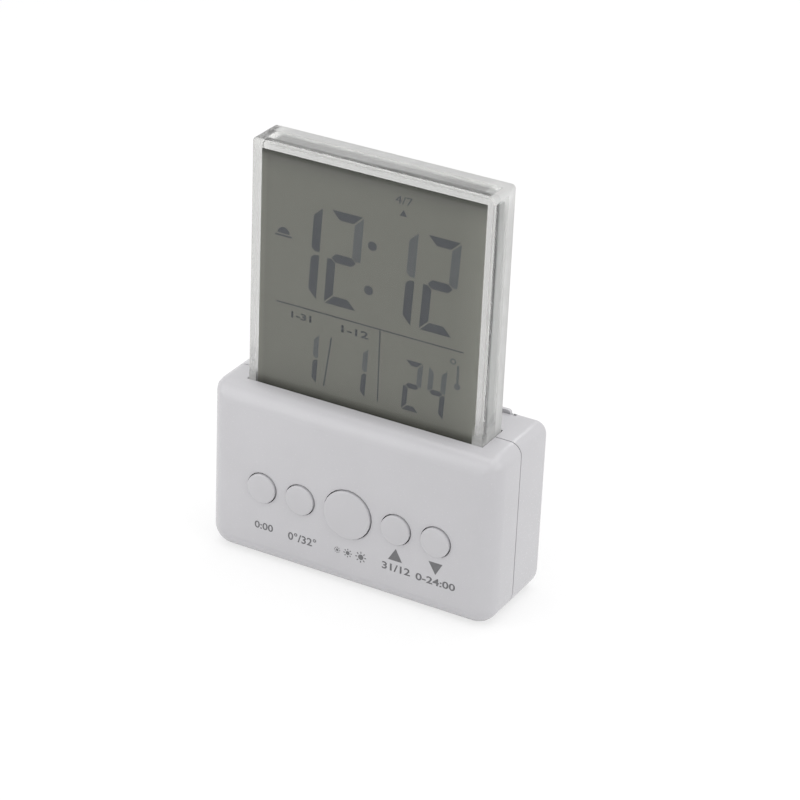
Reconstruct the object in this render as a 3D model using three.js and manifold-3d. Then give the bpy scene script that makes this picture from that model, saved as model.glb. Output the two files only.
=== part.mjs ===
// Table clock: a moulded base with five push buttons and a clear display block standing in its top.
// Millimetres. +X is right as seen from the front, the front faces -Y, +Z is up, and Z 0 is the table.

import * as THREE from 'three';
import { mergeVertices } from 'three/addons/utils/BufferGeometryUtils.js';
import Module from 'manifold-3d';

const wasm = await Module();
wasm.setup();

// Base, two moulded halves
const WALL = 2.0;
const LOWER_CORNER_RADIUS = 5.4;
const UPPER_CORNER_RADIUS = 3.2;
const FRONT_FILLET = 4.8;
const REAR_FILLET = 1.5;
const SEAM_GAP = 0.3;
const SEAM_AHEAD_OF_BAY = 0.35;
const LAP_DEPTH = 1.4; // rim of the front half that laps inside the rear half
const LAP_THICKNESS = 0.8;
const LAP_GAP = 0.15;

// Display block, a clear tray with a clear rear cover
const WINDOW_SETBACK = 5.9; // from the front of the base to the front of the block
const WINDOW_RISE = 63.95; // above the top of the base
const WINDOW_SINK = 9.7; // below the top of the base
const SHOULDER = 7.45; // from the side of the base to the side of the block
const WINDOW_PLATE = 2.0;
const WINDOW_LEFT_WALL = 2.05;
const WINDOW_RIGHT_WALL = 2.8;
const WINDOW_TOP_WALL = 2.75;
const WINDOW_RADIUS = 1.1;
const WINDOW_EDGE = 0.5;
const WINDOW_SEAT = 3.2; // from the top of the battery bay to the foot of the block
const SLOT_CLEARANCE = 0.25;
const REAR_COVER = 1.4;
const REAR_PLUG = 1.15; // step of the rear cover that fits inside the tray
const EAR_WIDTH = 1.6; // ears that keep the block from lifting out
const EAR_DEPTH = 4.0;
const EAR_CLEARANCE = 0.3;
const SEAT_RIB_X = 15.0;
const SEAT_RIB_WIDTH = 4.0;
const SEAT_RIB_HEIGHT = 2.0;
const SEAT_GAP = 0.2;

// Display and its light
const POLARISER = 0.2;
const GLASS = 0.7;
const GLASS_LEDGE = 3.0; // bare strip of the front glass that takes the ribbon
const LIGHT_GUIDE = 3.5;
const LIGHT_GUIDE_RADIUS = 2.5;
const STACK_GAP = 0.05;
const DISPLAY_LIFT = 2.0; // from the foot of the block to the lower edge of the glass
const RIBBON_WIDTH = 40.0;
const RIBBON_THICKNESS = 0.15;
const RIBBON_LAP = 3.0;
const RIBBON_GAP = 0.4;
const LED_INSET = 3.95; // from the side of the display to the middle of the light
const LED_RADIUS = 1.5;
const LED_HEIGHT = 4.4;
const LED_GAP = 0.3;
const LED_STAND = 2.0; // from the board to the middle of the light
const LED_LEAD = 0.5;
const LED_LEAD_PITCH = 1.9;
const LED_LEAD_DROP = 2.0; // from the top of the board to the leads

// Push buttons
const SMALL_CAP_RADIUS = 3.95;
const LARGE_CAP_RADIUS = 6.5;
const CAP_GAP = 0.25;
const CAP_CROWN = 0.45;
const CAP_FLANGE = 1.0;
const CAP_FLANGE_LIP = 0.75; // how far the flange reaches past the hole
const FLANGE_SPACING = 1.05;
const BUTTON_HEIGHT = 20.5;
const BUTTON_PROUD = 1.0;
const BUTTON_TRAVEL = 0.8;
const STOP_GAP = 0.1;
const KEY_TOP_GAP = 0.1;
const SMALL_KEY_RADIUS = 2.6;
const LARGE_KEY_RADIUS = 4.6;
const KEY_CHAMFER = 0.6;
const PILL_THICKNESS = 0.4;
const PILL_INSET = 0.5;
const SHEET_THICKNESS = 1.0;
const SHEET_OPENING = 0.6;
const SHEET_BORDER = 1.2;

// Board
const BOARD_THICKNESS = 1.6;
const BOARD_BOTTOM = 5.0;
const BOARD_TOP_GAP = 2.5;
const BOARD_SIDE_GAP = 0.5;
const BOARD_POST_RADIUS = 2.0;
const BOARD_POST_INSET = 3.3;
const PART_CLEARANCE = 0.55; // from the tallest part on the board to the battery bay
const SOLDER_GAP = 0.05;
const CHIP_RADIUS = 4.2;
const CHIP_HEIGHT = 1.6;
const CHIP_X = -12.0;
const CRYSTAL_RADIUS = 1.0;
const CRYSTAL_LENGTH = 6.0;
const CRYSTAL_X = 6.0;
const CAPACITOR_RADIUS = 1.5;
const CAPACITOR_LENGTH = 5.0;
const CAPACITOR_X = 16.0;
const THERMISTOR_RADIUS = 1.1;
const THERMISTOR_X = 24.0;

// Two cells lying across the base, one above the other
const CELL_DIAMETER = 10.3;
const CELL_LENGTH = 44.5;
const CELL_CLEARANCE = 0.2;
const CELL_NIPPLE_RADIUS = 1.9;
const CELL_NIPPLE = 1.0;
const CELL_EDGE = 0.4;
const BAY_WALL = 1.3;
const BAY_BOTTOM = 10.6;
const CONTACT_ROOM = 3.3;
const CONTACT_SHEET = 0.4;
const CONTACT_GAP = 0.1;
const CONTACT_HALF_HEIGHT = 4.2;
const CONTACT_TAB = 3.0;
const CONTACT_TAB_CLEARANCE = 0.25;
const CONTACT_TAB_REACH = 0.5; // how far the tab comes out in front of the bay
const SPRING_WIDTH = 5.0;
const SPRING_REACH = 3.0;
const SPRING_TIP = 1.2;
const WIRE_RADIUS = 0.5;
const WIRE_DROP = 7.0;
const WIRE_SHIFT = 2.2;

// Battery door, sliding up in rails
const DOOR_LAND = 3.55;
const DOOR_SOLE = 3.0; // below the battery bay
const DOOR_THICKNESS = 1.8;
const DOOR_GAP = 0.15;
const DOOR_SIDE_GAP = 0.3;
const DOOR_RAIL = 1.2;
const DOOR_RAIL_THICKNESS = 0.8;
const DOOR_RAIL_GAP = 0.3;
const DOOR_RAIL_WALL = 0.8; // between a rail's groove and the screw sleeves
const DOOR_LIP_HEIGHT = 0.9;
const DOOR_LIP_DEPTH = 1.5;
const DOOR_PANEL = 1.7; // wall of the rear case behind the door

// Screws
const CASE_SCREW_RADIUS = 1.0;
const CASE_SCREW_BITE = 7.0;
const CASE_SCREW_INSET = 4.4;
const CASE_SCREW_LOW = 7.5;
const CASE_SCREW_BELOW_WINDOW = 3.5;
const CASE_HEAD_RADIUS = 2.0;
const CASE_HEAD_HEIGHT = 1.4;
const CASE_HEAD_SINK = 3.8;
const CASE_POST_RADIUS = 2.6;
const CASE_SLEEVE_RADIUS = 2.9;
const BOARD_SCREW_RADIUS = 0.8;
const BOARD_SCREW_BITE = 3.5;
const BOARD_HEAD_RADIUS = 1.6;
const BOARD_HEAD_HEIGHT = 1.0;
const SCREW_CLEARANCE = 0.2;
const DRIVE_WIDTH = 0.5;
const DRIVE_DEPTH = 0.7;

// Facets
const CORNER_STEPS = 6;
const FILLET_STEPS = 5;
const CROWN_STEPS = 4;
const ROUND_SIDES = 24;
const SMALL_SIDES = 16;
const WIRE_SIDES = 8;
const WIRE_STEPS = 18;
const LEAST_RADIUS = 0.2;
const OVERCUT = 1.0; // how far a cutting shape runs past what it cuts
const MERGE_DISTANCE = 1e-4;

// Depth of the base, worked out from what it holds, front to rear
const lcdDepth = 2 * POLARISER + 2 * GLASS;
const windowDepth = WINDOW_PLATE + lcdDepth + LIGHT_GUIDE + 3 * STACK_GAP + REAR_PLUG + REAR_COVER;
const ribbonPlane = WINDOW_SETBACK + WINDOW_PLATE + STACK_GAP + POLARISER + GLASS;
const partRoom = 2 * CAPACITOR_RADIUS + SOLDER_GAP + PART_CLEARANCE;
const cellPitch = CELL_DIAMETER + 2 * CELL_CLEARANCE;
const baseDepth = ribbonPlane + partRoom + BAY_WALL + cellPitch + DOOR_GAP + DOOR_THICKNESS;
const frontY = -baseDepth / 2;
const rearY = baseDepth / 2;
const innerFrontY = frontY + WALL;
const boardRearY = frontY + ribbonPlane;
const boardFrontY = boardRearY - BOARD_THICKNESS;
const bayFrontY = boardRearY + partRoom;
const bayFloorY = bayFrontY + BAY_WALL;
const cellY = bayFloorY + cellPitch / 2;
const doorInnerY = rearY - DOOR_THICKNESS;
const panelRearY = doorInnerY - DOOR_GAP;
const seamY = bayFrontY - SEAM_AHEAD_OF_BAY;
const frontCaseEnd = seamY - SEAM_GAP / 2;
const rearCaseStart = seamY + SEAM_GAP / 2;
const windowFrontY = frontY + WINDOW_SETBACK;
const windowRearY = windowFrontY + windowDepth;
const lcdFrontY = windowFrontY + WINDOW_PLATE + STACK_GAP;
const guideFrontY = lcdFrontY + lcdDepth + STACK_GAP;
const plugFrontY = guideFrontY + LIGHT_GUIDE + STACK_GAP;
const coverFrontY = plugFrontY + REAR_PLUG;

// Widths
const bayHalf = CELL_LENGTH / 2 + CONTACT_ROOM;
const bayOuterHalf = bayHalf + BAY_WALL;
const doorHalf = bayOuterHalf + DOOR_LAND;
const railHalf = doorHalf + DOOR_RAIL + DOOR_RAIL_GAP;
const caseScrewX = railHalf + DOOR_RAIL_WALL + CASE_SLEEVE_RADIUS;
const baseHalf = caseScrewX + CASE_SCREW_INSET;
const windowHalf = baseHalf - SHOULDER;
const lcdLeft = -windowHalf + WINDOW_LEFT_WALL + STACK_GAP;
const lcdRight = windowHalf - WINDOW_RIGHT_WALL - STACK_GAP;
const boardHalf = caseScrewX - CASE_POST_RADIUS - BOARD_SIDE_GAP;
const boardScrewX = boardHalf - BOARD_POST_INSET;

// Heights
const bayTop = BAY_BOTTOM + 2 * cellPitch;
const bayOuterTop = bayTop + BAY_WALL;
const lowerCellZ = BAY_BOTTOM + cellPitch / 2;
const upperCellZ = lowerCellZ + cellPitch;
const windowFoot = bayOuterTop + WINDOW_SEAT;
const baseHeight = windowFoot + WINDOW_SINK;
const windowTop = baseHeight + WINDOW_RISE;
const lcdBottom = windowFoot + DISPLAY_LIFT;
const lcdTop = windowTop - WINDOW_TOP_WALL - STACK_GAP;
const boardTop = windowFoot - BOARD_TOP_GAP;
const doorBottom = BAY_BOTTOM - BAY_WALL - DOOR_SOLE;
const caseScrewHeights = [CASE_SCREW_LOW, windowFoot - CASE_SCREW_BELOW_WINDOW];
const boardScrewHeights = [BOARD_BOTTOM + BOARD_POST_INSET, boardTop - BOARD_POST_INSET];
const caseShankHole = CASE_SCREW_RADIUS + SCREW_CLEARANCE;
const boardShankHole = BOARD_SCREW_RADIUS + SCREW_CLEARANCE;

// Buttons, spaced by their flanges
const flangeRadius = (capRadius) => capRadius + CAP_GAP + CAP_FLANGE_LIP;
const innerButtonX = flangeRadius(LARGE_CAP_RADIUS) + flangeRadius(SMALL_CAP_RADIUS) + FLANGE_SPACING;
const outerButtonX = innerButtonX + 2 * flangeRadius(SMALL_CAP_RADIUS) + FLANGE_SPACING;
const smallButton = { capRadius: SMALL_CAP_RADIUS, keyRadius: SMALL_KEY_RADIUS };
const largeButton = { capRadius: LARGE_CAP_RADIUS, keyRadius: LARGE_KEY_RADIUS };
const buttons = [
  { name: 'set', x: -outerButtonX, ...smallButton },
  { name: 'temp', x: -innerButtonX, ...smallButton },
  { name: 'light', x: 0, ...largeButton },
  { name: 'up', x: innerButtonX, ...smallButton },
  { name: 'down', x: outerButtonX, ...smallButton },
];

// Colours and finishes
const finish = (color, roughness, metalness = 0) => ({ color, roughness, metalness });
const finishes = {
  abs: finish(0xc9c8cb, 0.45),
  clear: finish(0xdfe3e2, 0.08),
  display: finish(0x777973, 0.3),
  glass: finish(0xb9c2bd, 0.1),
  guide: finish(0xe6e7e4, 0.35),
  board: finish(0x2f6b45, 0.5),
  epoxy: finish(0x17181a, 0.35),
  silicone: finish(0xb4b5b6, 0.7),
  carbon: finish(0x1d1d1f, 0.8),
  can: finish(0x8e9195, 0.35, 1),
  cell: finish(0x3a5a78, 0.4),
  steel: finish(0xaeb1b5, 0.35, 1),
  ribbon: finish(0xc9b27a, 0.5),
  red: finish(0xa82c26, 0.5),
  black: finish(0x202124, 0.5),
};

// Shapes

function merged(geometry) {
  const bare = geometry.clone();
  bare.deleteAttribute('normal');
  bare.deleteAttribute('uv');
  const shared = mergeVertices(bare, MERGE_DISTANCE);
  const corners = shared.index.array;
  const kept = [];
  for (let i = 0; i < corners.length; i += 3) {
    const [a, b, c] = corners.slice(i, i + 3);
    if (a !== b && b !== c && c !== a) kept.push(a, b, c);
  }
  shared.setIndex(kept);
  return shared;
}

function solid(geometry) {
  const shared = merged(geometry);
  const mesh = new wasm.Mesh({
    numProp: 3,
    vertProperties: new Float32Array(shared.attributes.position.array),
    triVerts: new Uint32Array(shared.index.array),
  });
  return new wasm.Manifold(mesh);
}

function geometryOf(manifold) {
  const mesh = manifold.getMesh();
  const geometry = new THREE.BufferGeometry();
  geometry.setAttribute('position', new THREE.BufferAttribute(mesh.vertProperties, 3));
  geometry.setIndex(new THREE.BufferAttribute(mesh.triVerts, 1));
  geometry.computeVertexNormals();
  return geometry;
}

function box([x0, x1], [y0, y1], [z0, z1]) {
  const geometry = new THREE.BoxGeometry(x1 - x0, y1 - y0, z1 - z0);
  geometry.translate((x0 + x1) / 2, (y0 + y1) / 2, (z0 + z1) / 2);
  return solid(geometry);
}

function rod(x, z, radius, [y0, y1], sides = ROUND_SIDES) {
  const geometry = new THREE.CylinderGeometry(radius, radius, y1 - y0, sides);
  geometry.translate(x, (y0 + y1) / 2, z);
  return solid(geometry);
}

// A solid of revolution about a front-to-rear axis; the profile runs front to rear as [radius, y].
function turned(profile, x, z, sides = ROUND_SIDES) {
  const geometry = new THREE.LatheGeometry(profile.map(([r, y]) => new THREE.Vector2(r, y)), sides);
  geometry.translate(x, 0, z);
  return solid(geometry);
}

function ring({ middle = 0, halfWidth, bottom, top, radius, topRadius = radius }, y, inset) {
  const upper = Math.max(topRadius - inset, LEAST_RADIUS);
  const lower = Math.max(radius - inset, LEAST_RADIUS);
  const side = halfWidth - inset;
  const high = top - inset - upper;
  const low = bottom + inset + lower;
  const bends = [
    [side - upper, high, upper],
    [upper - side, high, upper],
    [lower - side, low, lower],
    [side - lower, low, lower],
  ];
  const points = [];
  bends.forEach(([x, z, bend], quarter) => {
    for (let step = 0; step <= CORNER_STEPS; step++) {
      const angle = (quarter + step / CORNER_STEPS) * (Math.PI / 2);
      points.push([middle + x + bend * Math.cos(angle), y, z + bend * Math.sin(angle)]);
    }
  });
  return points;
}

// A block with a rounded-rectangle outline, seen from the front, and rounded front and rear edges.
function roundedBlock(outline, [y0, y1], frontFillet = 0, rearFillet = 0) {
  const rings = [];
  const steps = (fillet) => (fillet > 0 ? FILLET_STEPS : 0);
  for (let step = 0; step <= steps(frontFillet); step++) {
    const angle = (step / FILLET_STEPS) * (Math.PI / 2);
    rings.push(ring(outline, y0 + frontFillet * (1 - Math.cos(angle)), frontFillet * (1 - Math.sin(angle))));
  }
  for (let step = steps(rearFillet); step >= 0; step--) {
    const angle = (step / FILLET_STEPS) * (Math.PI / 2);
    rings.push(ring(outline, y1 - rearFillet * (1 - Math.cos(angle)), rearFillet * (1 - Math.sin(angle))));
  }
  return solid(loft(rings));
}

function loft(rings) {
  const count = rings[0].length;
  const positions = rings.flat(2);
  const corners = [];
  for (let k = 0; k + 1 < rings.length; k++) {
    for (let i = 0; i < count; i++) {
      const a = k * count + i;
      const b = k * count + (i + 1) % count;
      corners.push(a, a + count, b + count, a, b + count, b);
    }
  }
  const last = (rings.length - 1) * count;
  for (let i = 1; i + 1 < count; i++) {
    corners.push(0, i, i + 1, last, last + i + 1, last + i);
  }
  const geometry = new THREE.BufferGeometry();
  geometry.setAttribute('position', new THREE.Float32BufferAttribute(positions, 3));
  geometry.setIndex(corners);
  return geometry;
}

// A bent strip of sheet, drawn as its path seen from above and given a height.
function strip(path, thickness, [z0, z1]) {
  const points = path.map(([x, y]) => new THREE.Vector2(x, y));
  const sides = { left: [], right: [] };
  points.forEach((point, i) => {
    const before = points[Math.max(i - 1, 0)];
    const after = points[Math.min(i + 1, points.length - 1)];
    const into = point.clone().sub(before).normalize();
    const out = after.clone().sub(point).normalize();
    const along = into.clone().add(out).normalize();
    const across = new THREE.Vector2(-along.y, along.x);
    const edge = i === 0 ? out : into;
    const reach = thickness / 2 / Math.abs(edge.x * across.y - edge.y * across.x);
    sides.left.push(point.clone().addScaledVector(across, reach));
    sides.right.unshift(point.clone().addScaledVector(across, -reach));
  });
  const shape = new THREE.Shape([...sides.left, ...sides.right]);
  const geometry = new THREE.ExtrudeGeometry(shape, { depth: z1 - z0, bevelEnabled: false });
  geometry.translate(0, 0, z0);
  return solid(geometry);
}

const join = (...solids) => solids.reduce((whole, extra) => whole.add(extra));
const cut = (whole, ...tools) => tools.reduce((left, tool) => left.subtract(tool), whole);
const bothSides = (x, make) => [make(-x), make(x)];
const atScrews = (x, heights, make) => heights.flatMap((z) => bothSides(x, (side) => make(side, z)));

const clock = new THREE.Group();
// The origin is under the middle of the whole clock, buttons included.
clock.position.y = BUTTON_PROUD / 2;

function add(name, surface, manifold, parent = clock) {
  const material = new THREE.MeshStandardMaterial(finishes[surface]);
  const mesh = new THREE.Mesh(geometryOf(manifold), material);
  mesh.name = name;
  parent.add(mesh);
}

// Shared forms of the base

const baseOutline = (inset) => ({
  halfWidth: baseHalf - inset,
  bottom: inset,
  top: baseHeight - inset,
  radius: LOWER_CORNER_RADIUS - inset,
  topRadius: UPPER_CORNER_RADIUS - inset,
});
const baseBlock = roundedBlock(baseOutline(0), [frontY, rearY], FRONT_FILLET, REAR_FILLET);
const hollow = roundedBlock(baseOutline(WALL), [innerFrontY, rearY - WALL], FRONT_FILLET - WALL);
const allX = [-baseHalf - OVERCUT, baseHalf + OVERCUT];
const allZ = [-OVERCUT, windowTop + OVERCUT];
const windowSlot = box(
  [-windowHalf - SLOT_CLEARANCE, windowHalf + SLOT_CLEARANCE],
  [windowFrontY - SLOT_CLEARANCE, windowRearY + SLOT_CLEARANCE],
  [windowFoot, baseHeight + OVERCUT],
);

// A band that follows the wall of the base, between two depths below its surface.
function wallBand([outer, inner], [y0, y1]) {
  const filling = roundedBlock(baseOutline(inner), [y0 - OVERCUT, y1 + OVERCUT]);
  return cut(roundedBlock(baseOutline(outer), [y0, y1]), filling);
}

function seatRibs([y0, y1], [z0, z1]) {
  const half = SEAT_RIB_WIDTH / 2;
  return bothSides(SEAT_RIB_X, (x) => box([x - half, x + half], [y0, y1], [z0, z1]));
}

// Front half of the base: button holes, screw posts, board posts and the front of the display slot.
function frontCase() {
  const half = box(allX, [frontY - OVERCUT, frontCaseEnd], allZ);
  const backToWall = [innerFrontY - WALL / 2, frontCaseEnd];
  const posts = join(
    ...atScrews(caseScrewX, caseScrewHeights, (x, z) => rod(x, z, CASE_POST_RADIUS, backToWall)),
    ...atScrews(boardScrewX, boardScrewHeights, (x, z) =>
      rod(x, z, BOARD_POST_RADIUS, [innerFrontY - WALL / 2, boardFrontY])),
    ...seatRibs(
      [innerFrontY - WALL / 2, windowFrontY + WINDOW_PLATE],
      [windowFoot - SEAT_GAP - SEAT_RIB_HEIGHT, windowFoot - SEAT_GAP],
    ),
  );
  const casePilot = [seamY - CASE_SCREW_BITE - SCREW_CLEARANCE, seamY];
  const boardPilot = [boardFrontY - BOARD_SCREW_BITE - SCREW_CLEARANCE, boardFrontY + OVERCUT];
  const pilots = [
    ...atScrews(caseScrewX, caseScrewHeights, (x, z) => rod(x, z, caseShankHole, casePilot, SMALL_SIDES)),
    ...atScrews(boardScrewX, boardScrewHeights, (x, z) => rod(x, z, boardShankHole, boardPilot, SMALL_SIDES)),
  ];
  const holes = buttons.map(({ x, capRadius }) =>
    rod(x, BUTTON_HEIGHT, capRadius + CAP_GAP, [frontY - OVERCUT, innerFrontY + OVERCUT]));
  const lap = wallBand([WALL - LAP_THICKNESS, WALL], [frontCaseEnd - LAP_DEPTH, frontCaseEnd + LAP_DEPTH]);
  const shell = join(cut(baseBlock, hollow), posts.intersect(baseBlock));
  return cut(join(shell.intersect(half), lap), windowSlot, ...pilots, ...holes);
}

// Rear half of the base: battery bay, door recess with its rails, screw sleeves and the rear of the slot.
function rearCase() {
  const half = box(allX, [rearCaseStart, rearY + OVERCUT], allZ);
  const recessHalf = doorHalf + DOOR_SIDE_GAP;
  const panelHalf = railHalf + BAY_WALL;
  const panelHeight = [WALL / 2, baseHeight - WALL / 2];
  const panel = box([-panelHalf, panelHalf], [panelRearY - DOOR_PANEL, panelRearY], panelHeight);
  const bayHeight = [BAY_BOTTOM - BAY_WALL, bayOuterTop];
  const bay = box([-bayOuterHalf, bayOuterHalf], [bayFrontY, panelRearY], bayHeight);
  const sleeves = atScrews(caseScrewX, caseScrewHeights, (x, z) =>
    rod(x, z, CASE_SLEEVE_RADIUS, [rearCaseStart, rearY - WALL / 2]));
  const ribs = seatRibs([bayFrontY, windowRearY + WALL / 2], [bayTop, windowFoot - SEAT_GAP]);
  const inside = join(panel, bay, ...sleeves, ...ribs);
  const cavity = box([-bayHalf, bayHalf], [bayFloorY, rearY + OVERCUT], [BAY_BOTTOM, bayTop]);
  const recessHeight = [doorBottom - DOOR_SIDE_GAP, baseHeight + OVERCUT];
  const recess = box([-recessHalf, recessHalf], [panelRearY, rearY + OVERCUT], recessHeight);
  const railDepth = DOOR_GAP + DOOR_RAIL_THICKNESS + DOOR_RAIL_GAP;
  const rails = box([-railHalf, railHalf], [panelRearY, panelRearY + railDepth], recessHeight);
  const bores = atScrews(caseScrewX, caseScrewHeights, (x, z) =>
    join(
      rod(x, z, caseShankHole, [rearCaseStart - OVERCUT, rearY], SMALL_SIDES),
      rod(x, z, CASE_HEAD_RADIUS + SCREW_CLEARANCE, [rearY - CASE_HEAD_SINK, rearY + OVERCUT]),
    ));
  const tabSlots = [lowerCellZ, upperCellZ].map((z) =>
    box(
      [-bayHalf, -contactInner + CONTACT_TAB_CLEARANCE],
      [bayFrontY - OVERCUT, bayFloorY + OVERCUT],
      [z - CONTACT_TAB / 2 - CONTACT_TAB_CLEARANCE, z + CONTACT_TAB / 2 + CONTACT_TAB_CLEARANCE],
    ));
  const rebate = wallBand(
    [WALL - LAP_THICKNESS - LAP_GAP, WALL + LAP_GAP],
    [rearCaseStart - OVERCUT, frontCaseEnd + LAP_DEPTH + LAP_GAP],
  );
  const shell = join(cut(baseBlock, hollow), inside.intersect(baseBlock)).intersect(half);
  return cut(shell, windowSlot, rebate, cavity, recess, rails, ...bores, ...tabSlots);
}

// Door that covers the cells. It slides up in the rails, pushed by the rounded lip on its upper edge.
function batteryDoor() {
  const plate = box([-doorHalf, doorHalf], [doorInnerY, rearY + OVERCUT], [doorBottom, baseHeight + OVERCUT]);
  const tongue = box(
    [-doorHalf - DOOR_RAIL, doorHalf + DOOR_RAIL],
    [doorInnerY, doorInnerY + DOOR_RAIL_THICKNESS],
    [doorBottom, baseHeight - WALL],
  );
  const lip = roundedBlock(
    {
      halfWidth: doorHalf,
      bottom: baseHeight - DOOR_LIP_HEIGHT - WALL,
      top: baseHeight + DOOR_LIP_HEIGHT,
      radius: DOOR_LIP_HEIGHT,
    },
    [doorInnerY, doorInnerY + DOOR_LIP_DEPTH],
    0,
    DOOR_LIP_DEPTH / 2,
  );
  return join(plate.intersect(baseBlock), tongue, lip);
}

// Clear tray: front plate, side walls and top wall in one, open at the foot and the back.
function windowFront() {
  const outline = { halfWidth: windowHalf, bottom: windowFoot, top: windowTop, radius: WINDOW_RADIUS };
  const block = roundedBlock(outline, [windowFrontY, coverFrontY - STACK_GAP], WINDOW_EDGE);
  const pocket = box(
    [lcdLeft - STACK_GAP, lcdRight + STACK_GAP],
    [windowFrontY + WINDOW_PLATE, coverFrontY + OVERCUT],
    [windowFoot - OVERCUT, lcdTop + STACK_GAP],
  );
  const earTop = baseHeight - WALL - EAR_CLEARANCE;
  const ears = box(
    [-windowHalf - EAR_WIDTH, windowHalf + EAR_WIDTH],
    [windowFrontY + WINDOW_EDGE, windowFrontY + EAR_DEPTH],
    [windowFoot, earTop],
  );
  return cut(join(block, ears), pocket);
}

// Clear rear cover: a plate over the rim of the tray, with a step that fits inside it.
function windowRear() {
  const outline = { halfWidth: windowHalf, bottom: windowFoot, top: windowTop, radius: WINDOW_RADIUS };
  const plate = roundedBlock(outline, [coverFrontY, windowRearY], 0, WINDOW_EDGE);
  const plug = box([lcdLeft, lcdRight], [plugFrontY, coverFrontY + WINDOW_EDGE], [windowFoot, lcdTop]);
  return join(plate, plug);
}

// Display: two glasses between two polarisers. The rear glass stops short to leave the ribbon's ledge.
function addDisplay() {
  const width = [lcdLeft, lcdRight];
  const full = [lcdBottom, lcdTop];
  const short = [lcdBottom + GLASS_LEDGE, lcdTop];
  const layers = [
    ['lcd_front_polariser', 'display', POLARISER, full],
    ['lcd_front_glass', 'glass', GLASS, full],
    ['lcd_rear_glass', 'glass', GLASS, short],
    ['lcd_rear_polariser', 'display', POLARISER, short],
  ];
  let y = lcdFrontY;
  for (const [name, material, thickness, height] of layers) {
    add(name, material, box(width, [y, y + thickness], height));
    y += thickness;
  }
  const ribbonHeight = [boardTop - RIBBON_LAP, lcdBottom + GLASS_LEDGE - RIBBON_GAP];
  const ribbonDepth = [boardRearY, boardRearY + RIBBON_THICKNESS];
  add('lcd_ribbon', 'ribbon', box([-RIBBON_WIDTH / 2, RIBBON_WIDTH / 2], ribbonDepth, ribbonHeight));
  const guide = {
    middle: (lcdLeft + lcdRight) / 2,
    halfWidth: (lcdRight - lcdLeft) / 2,
    bottom: lcdBottom,
    top: lcdTop,
    radius: LIGHT_GUIDE_RADIUS,
  };
  add('light_guide', 'guide', roundedBlock(guide, [guideFrontY, guideFrontY + LIGHT_GUIDE]));
}

// Light source under the foot of the light guide, with its two legs bent forward to the board.
function led(x) {
  const top = lcdBottom - LED_GAP;
  const foot = top - LED_HEIGHT;
  const y = boardRearY + LED_STAND;
  const profile = [[0, foot], [LED_RADIUS, foot]];
  for (let step = 0; step <= CROWN_STEPS; step++) {
    const angle = (step / CROWN_STEPS) * (Math.PI / 2);
    profile.push([LED_RADIUS * Math.cos(angle), top - LED_RADIUS * (1 - Math.sin(angle))]);
  }
  const bulb = new THREE.LatheGeometry(profile.map(([r, z]) => new THREE.Vector2(r, z)), SMALL_SIDES);
  bulb.rotateX(Math.PI / 2);
  bulb.translate(x, y, 0);
  const legZ = boardTop - LED_LEAD_DROP;
  const legs = bothSides(LED_LEAD_PITCH / 2, (side) => {
    const across = [x + side - LED_LEAD / 2, x + side + LED_LEAD / 2];
    return join(
      box(across, [y - LED_LEAD / 2, y + LED_LEAD / 2], [legZ - LED_LEAD / 2, foot + LED_LEAD]),
      box(across, [boardRearY + SOLDER_GAP, y], [legZ - LED_LEAD / 2, legZ + LED_LEAD / 2]),
    );
  });
  return join(solid(bulb), ...legs);
}

// One push button: a domed cap with a flange behind the wall, a silicone key and its carbon pill.
function addButton({ name, x, capRadius, keyRadius }) {
  const button = new THREE.Group();
  clock.add(button);
  const flangeFront = innerFrontY + CAP_GAP;
  const flangeRear = flangeFront + CAP_FLANGE;
  const crownEdge = frontY - BUTTON_PROUD + CAP_CROWN;
  const cap = [];
  for (let step = CROWN_STEPS * 2; step >= 0; step--) {
    const angle = (step / (CROWN_STEPS * 2)) * (Math.PI / 2);
    cap.push([capRadius * Math.cos(angle), crownEdge - CAP_CROWN * Math.sin(angle)]);
  }
  const reach = flangeRadius(capRadius);
  cap.push([capRadius, flangeFront], [reach, flangeFront], [reach, flangeRear], [0, flangeRear]);
  cap[0][0] = 0;
  add(`${name}_button`, 'abs', turned(cap, x, BUTTON_HEIGHT), button);
  const keyFront = flangeRear + KEY_TOP_GAP;
  const pillRear = boardFrontY - BUTTON_TRAVEL - STOP_GAP;
  const keyRear = pillRear - PILL_THICKNESS;
  const key = [
    [0, keyFront],
    [keyRadius - KEY_CHAMFER, keyFront],
    [keyRadius, keyFront + KEY_CHAMFER],
    [keyRadius, keyRear],
    [0, keyRear],
  ];
  add(`${name}_key`, 'silicone', turned(key, x, BUTTON_HEIGHT), button);
  add(`${name}_pill`, 'carbon', rod(x, BUTTON_HEIGHT, keyRadius - PILL_INSET, [keyRear, pillRear]), button);
}

// Silicone sheet that lies on the board, open round each key.
function keypadSheet() {
  const depth = [boardFrontY - SHEET_THICKNESS, boardFrontY];
  const through = [depth[0] - OVERCUT, depth[1] + OVERCUT];
  const border = SMALL_KEY_RADIUS + SHEET_OPENING + SHEET_BORDER;
  const band = box([-outerButtonX, outerButtonX], depth, [BUTTON_HEIGHT - border, BUTTON_HEIGHT + border]);
  const rounds = buttons.map(({ x, keyRadius }) =>
    rod(x, BUTTON_HEIGHT, keyRadius + SHEET_OPENING + SHEET_BORDER, depth));
  const openings = buttons.map(({ x, keyRadius }) =>
    rod(x, BUTTON_HEIGHT, keyRadius + SHEET_OPENING, through));
  return cut(join(band, ...rounds), ...openings);
}

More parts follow.
